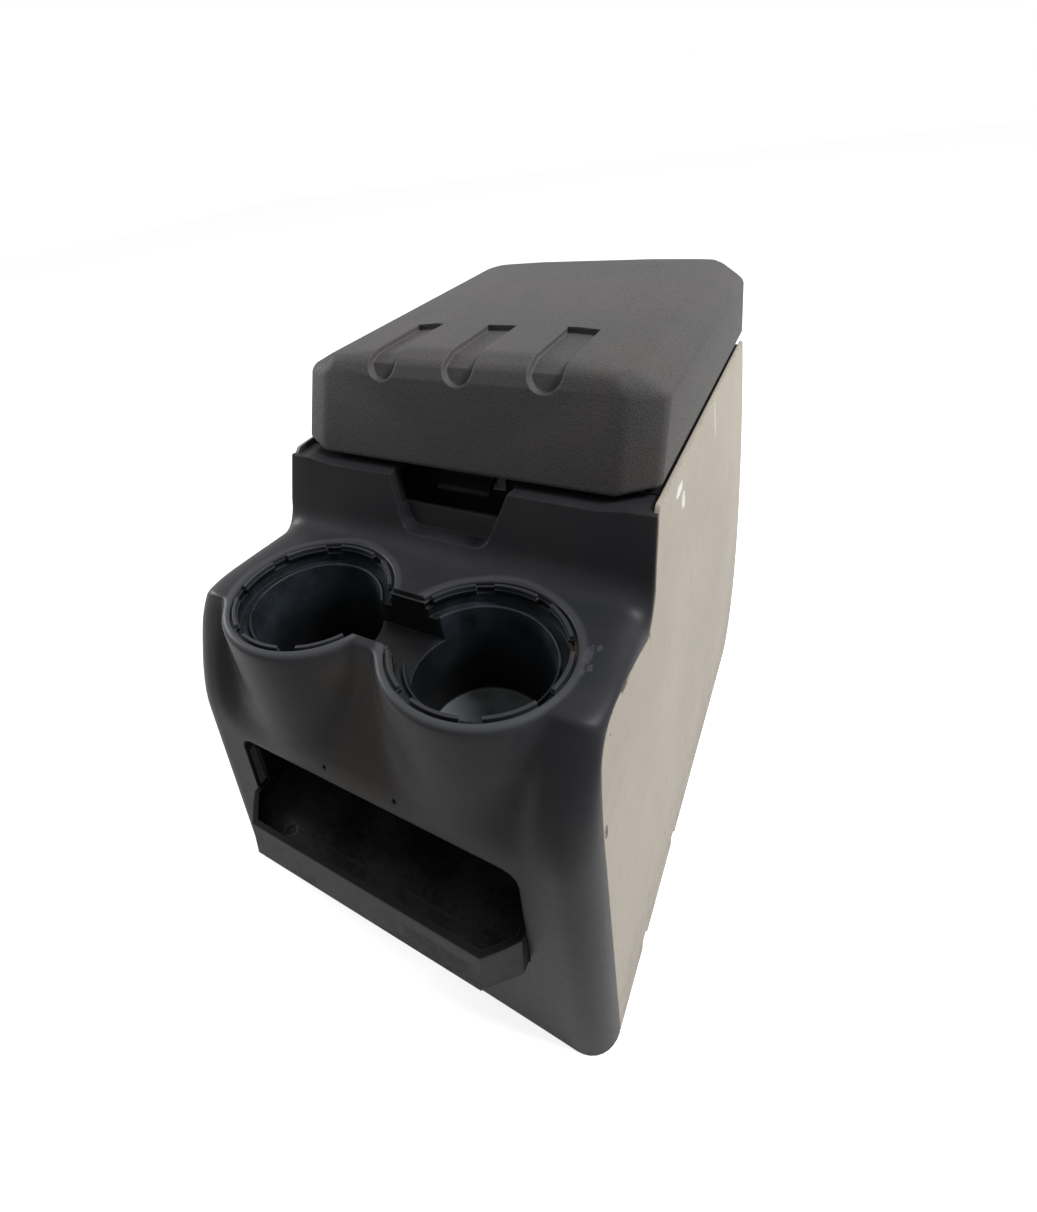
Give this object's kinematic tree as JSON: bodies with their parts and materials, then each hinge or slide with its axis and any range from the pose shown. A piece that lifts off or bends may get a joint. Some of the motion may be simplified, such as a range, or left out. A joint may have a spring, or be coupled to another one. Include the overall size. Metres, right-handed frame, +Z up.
{
  "type": "car center console",
  "caption": "Floor-standing car center console with cup holders, an open front tray and a storage bin under a hinged, padded armrest lid.",
  "frame": {"origin": "centre of the overall box, at the floor", "axes": "+Z up, -Y towards the cup holders and the front tray, +X to the right as seen from the front"},
  "size_m": [0.3124, 0.4899, 0.3795],
  "materials": {
    "charcoal_plastic": "fine-grained moulded plastic, lightly scuffed",
    "black_plastic": "smooth moulded plastic",
    "beige_plastic": "fine-grained painted plastic with small chips",
    "bin_plastic": "plain moulded plastic",
    "rubber": "dull",
    "grained_skin": "grained soft skin over foam",
    "frame_plastic": "plain moulded plastic",
    "zinc_steel": "zinc plated",
    "latch_plastic": "smooth",
    "spring_steel": "bright wire",
    "screw_steel": "dark zinc"
  },
  "bodies": {
    "console_body": {"front_fascia": "charcoal_plastic", "cup_holder_insert": "black_plastic", "front_tray": "black_plastic", "left_side_panel": "beige_plastic", "right_side_panel": "beige_plastic", "rear_panel": "beige_plastic", "storage_bin": "bin_plastic", "bin_mat": "rubber", "floor_bracket_front": "zinc_steel", "floor_bracket_rear": "zinc_steel", "latch_striker": "zinc_steel", "hinge_leaf_body": "zinc_steel", "hinge_pin": "zinc_steel", "cup_screw_1": "screw_steel", "cup_screw_2": "screw_steel", "cup_screw_3": "screw_steel", "tray_screw_left": "screw_steel", "fascia_screw_left": "screw_steel", "striker_screw_left": "screw_steel", "hinge_screw_body_left": "screw_steel", "rear_screw_left": "screw_steel", "bin_screw_left_1": "screw_steel", "bin_screw_left_2": "screw_steel", "bracket_screw_front_left": "screw_steel", "bracket_screw_rear_left": "screw_steel", "tray_screw_right": "screw_steel", "fascia_screw_right": "screw_steel", "striker_screw_right": "screw_steel", "hinge_screw_body_right": "screw_steel", "rear_screw_right": "screw_steel", "bin_screw_right_1": "screw_steel", "bin_screw_right_2": "screw_steel", "bracket_screw_front_right": "screw_steel", "bracket_screw_rear_right": "screw_steel"},
    "lid": {"armrest_pad": "grained_skin", "lid_frame": "frame_plastic", "lid_liner": "bin_plastic", "lid_bumper_left": "rubber", "lid_bumper_right": "rubber", "hinge_leaf_lid": "zinc_steel", "latch_pin": "spring_steel", "latch_spring": "spring_steel", "hinge_screw_lid_left": "screw_steel", "hinge_screw_lid_right": "screw_steel", "liner_screw_1": "screw_steel", "liner_screw_2": "screw_steel", "liner_screw_3": "screw_steel", "liner_screw_4": "screw_steel"},
    "latch": {"latch_paddle": "latch_plastic"}
  },
  "joints": [
    {"name": "lid_hinge", "type": "hinge", "parent": "console_body", "child": "lid", "pos_m": [0, 0.232, 0.3119], "axis": [-1, 0, 0], "range_deg": [0, 95]},
    {"name": "latch_pull", "type": "hinge", "parent": "lid", "child": "latch", "pos_m": [0, -0.043, 0.323], "axis": [-1, 0, 0], "range_deg": [0, 15], "stiffness_Nm_per_rad": 0.15, "springref_deg": -11.46, "deforming": ["latch_spring"]}
  ]
}
